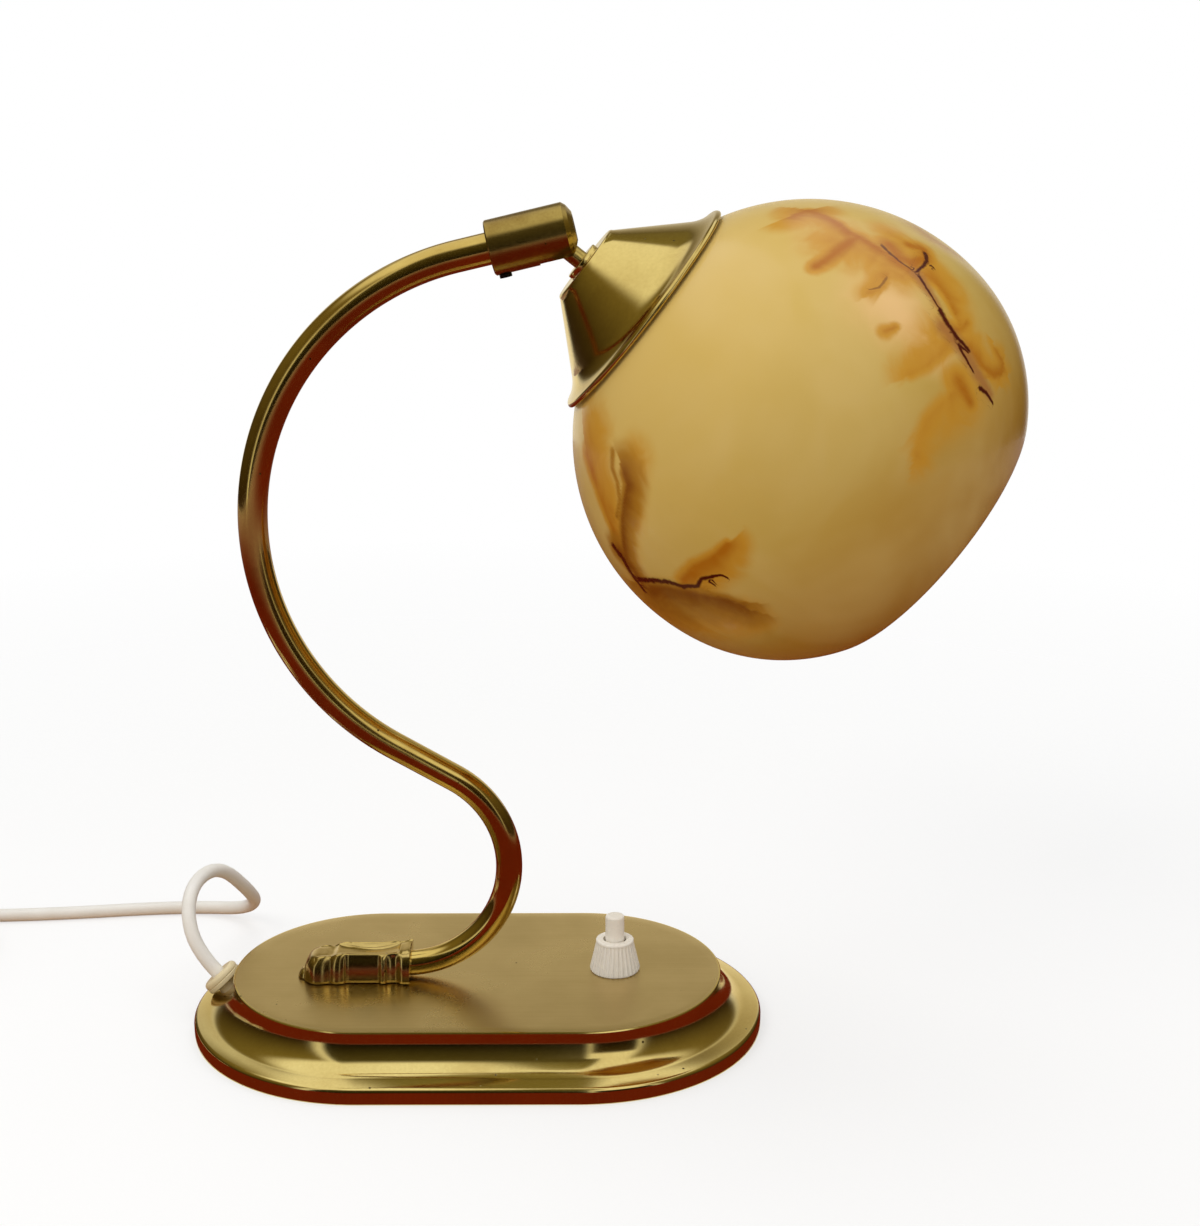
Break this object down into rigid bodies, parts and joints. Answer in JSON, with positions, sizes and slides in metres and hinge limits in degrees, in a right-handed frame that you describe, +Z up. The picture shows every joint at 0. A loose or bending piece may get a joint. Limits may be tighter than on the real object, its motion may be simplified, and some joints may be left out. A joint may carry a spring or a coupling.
{
  "type": "glass globe table lamp",
  "caption": "Brass table lamp: stepped oval foot, swan-neck arm held in a cast paw, ball joint with a bell cap, open amber glass globe, push switch and cord.",
  "frame": {"origin": "middle of the foot's underside, on the table", "axes": "+Z up; +X along the foot's length, from the paw towards the switch, the way the globe looks; +Y away from the camera, towards the back of the lamp"},
  "size_m": [0.5314, 0.2073, 0.3382],
  "materials": {
    "brass_satin": "satin, horizontally brushed",
    "brass_polished": "polished and lacquered, lightly aged",
    "brass_cast": "cast and burnished",
    "iron": "rough cast",
    "cover_steel": "zinc plated",
    "felt": "green felt",
    "screw_steel": "zinc plated",
    "black_steel": "blackened",
    "spring_steel": "bright",
    "ivory_plastic": "moulded, glossy",
    "white_plastic": "moulded, glossy",
    "black_plastic": "moulded",
    "holder_ceramic": "unglazed",
    "globe_glass": "opal amber, marbled, glossy",
    "bulb_glass": "frosted",
    "bulb_cap": "bright",
    "cord_white": "smooth flexible sheath",
    "pin_brass": "bright"
  },
  "bodies": {
    "base": {"base_shell": "brass_satin", "base_weight": "iron", "bottom_cover": "cover_steel", "felt_pad": "felt", "cover_screws": "screw_steel", "paw_clasp": "brass_cast", "paw_screws": "screw_steel", "arm_tube": "brass_polished", "feed_lead": "cord_white", "switch_body": "black_plastic", "switch_bezel": "white_plastic", "switch_lugs": "pin_brass", "switch_spring": "spring_steel", "cord_bush": "ivory_plastic", "inner_cord": "cord_white", "cord_clamp": "black_plastic", "cord": "cord_white", "cord_coil": "cord_white", "plug_body": "white_plastic", "plug_pins": "pin_brass"},
    "button": {"switch_button": "white_plastic"},
    "barrel": {"joint_barrel": "brass_polished", "barrel_screw": "black_steel", "spring_washer": "spring_steel", "ball_seat": "white_plastic"},
    "stem": {"ball_stem": "brass_polished"},
    "head": {"shade_cap": "brass_polished", "cap_nut": "screw_steel", "holder_shell": "black_plastic", "holder_core": "holder_ceramic", "shade_ring": "black_plastic", "glass_globe": "globe_glass", "bulb_glass": "bulb_glass", "bulb_base": "bulb_cap"}
  },
  "joints": [
    {"name": "switch_push", "type": "slide", "parent": "base", "child": "button", "axis": [0, 0, -1], "range_m": [0, 0.0035], "stiffness_N_per_m": 600, "springref_m": -0.002, "deforming": ["switch_spring"]},
    {"name": "barrel_turn", "type": "hinge", "parent": "base", "child": "barrel", "pos_m": [0.03204, -0.006, 0.3253], "axis": [0.9736, 0, 0.2284], "range_deg": [-90, 90]},
    {"name": "head_nod", "type": "hinge", "parent": "barrel", "child": "stem", "pos_m": [0.03204, -0.006, 0.3253], "axis": [0, 1, 0], "range_deg": [-45, 38]},
    {"name": "head_turn", "type": "hinge", "parent": "stem", "child": "head", "pos_m": [0.03204, -0.006, 0.3253], "axis": [0.788, 0, -0.6157], "range_deg": [-170, 170]}
  ]
}
